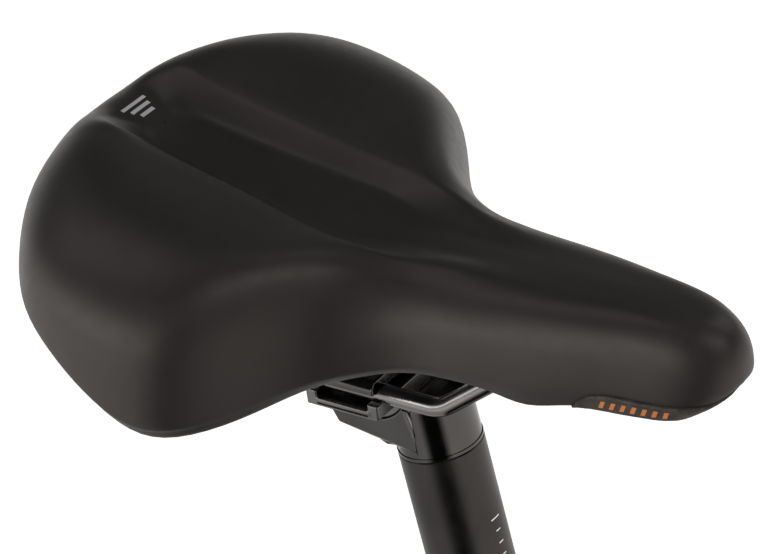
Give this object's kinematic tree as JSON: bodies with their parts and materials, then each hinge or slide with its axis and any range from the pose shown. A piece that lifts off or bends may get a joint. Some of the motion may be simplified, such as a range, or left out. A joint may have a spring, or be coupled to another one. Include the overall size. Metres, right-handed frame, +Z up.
{
  "type": "bicycle saddle",
  "caption": "Wide comfort bicycle saddle with a central channel, steel rails, rear buffers and nose bumper, clamped on a set-back seatpost.",
  "frame": {"origin": "centre of the top end of the post tube, on the tube's axis", "axes": "+X towards the nose of the saddle, +Y to its left, +Z up; the post leans back from +Z"},
  "size_m": [0.268, 0.2, 0.397],
  "materials": {
    "cover_black": "soft-touch matt black cover",
    "foam": "moulded grey foam, hidden under the cover",
    "hard_plastic": "fine-textured black moulding",
    "bumper_brown": "speckled dark brown",
    "rail_black": "gloss black",
    "buffer_grey": "matt dark grey",
    "post_black": "satin black anodised",
    "head_black": "gloss black painted",
    "cradle_grey": "satin dark grey",
    "bolt_black": "black oxide",
    "fastener_steel": "zinc plated"
  },
  "bodies": {
    "post": {"post_tube": "post_black", "post_head": "head_black", "post_plug": "hard_plastic"},
    "cradle": {"lower_cradle": "cradle_grey", "bolt_washer": "fastener_steel"},
    "bolt": {"clamp_bolt": "bolt_black"},
    "clamp_top": {"upper_clamp": "head_black", "clamp_nut": "fastener_steel"},
    "rails": {"rail_left": "rail_black", "rail_right": "rail_black", "nose_block": "hard_plastic", "rear_bridge": "hard_plastic", "buffer_screws": "fastener_steel", "buffer_left": "buffer_grey", "buffer_right": "buffer_grey"},
    "seat": {"shell": "hard_plastic", "foam_pad": "foam", "cover": "cover_black", "nose_bumper": "bumper_brown", "nose_plate": "hard_plastic", "nose_socket": "hard_plastic", "nose_pin": "fastener_steel", "socket_screws": "fastener_steel", "buffer_seats": "hard_plastic"}
  },
  "joints": [
    {"name": "tilt", "type": "hinge", "parent": "post", "child": "cradle", "pos_m": [-0.0225, 0, 0.029], "axis": [0, -1, 0], "range_deg": [-12, 6]},
    {"name": "bolt_turn", "type": "hinge", "parent": "cradle", "child": "bolt", "pos_m": [-0.0225, 0, 0.029], "axis": [0.1392, 0, -0.9903], "range_deg": [0, 1152]},
    {"name": "clamp_lift", "type": "slide", "parent": "cradle", "child": "clamp_top", "axis": [-0.1392, 0, 0.9903], "range_m": [0, 0.004]},
    {"name": "fore_aft", "type": "slide", "parent": "cradle", "child": "rails", "axis": [0.9903, 0, 0.1392], "range_m": [-0.015, 0.015]},
    {"name": "rear_flex", "type": "hinge", "parent": "rails", "child": "seat", "pos_m": [0.0835, 0, 0.063], "axis": [0, -1, 0], "range_deg": [0, 1.5], "stiffness_Nm_per_rad": 3000, "deforming": ["buffer_left", "buffer_right"]}
  ],
  "couplings": [
    {"joint": "bolt_turn", "follows": "clamp_lift", "rad_per_m": 5026.5}
  ]
}
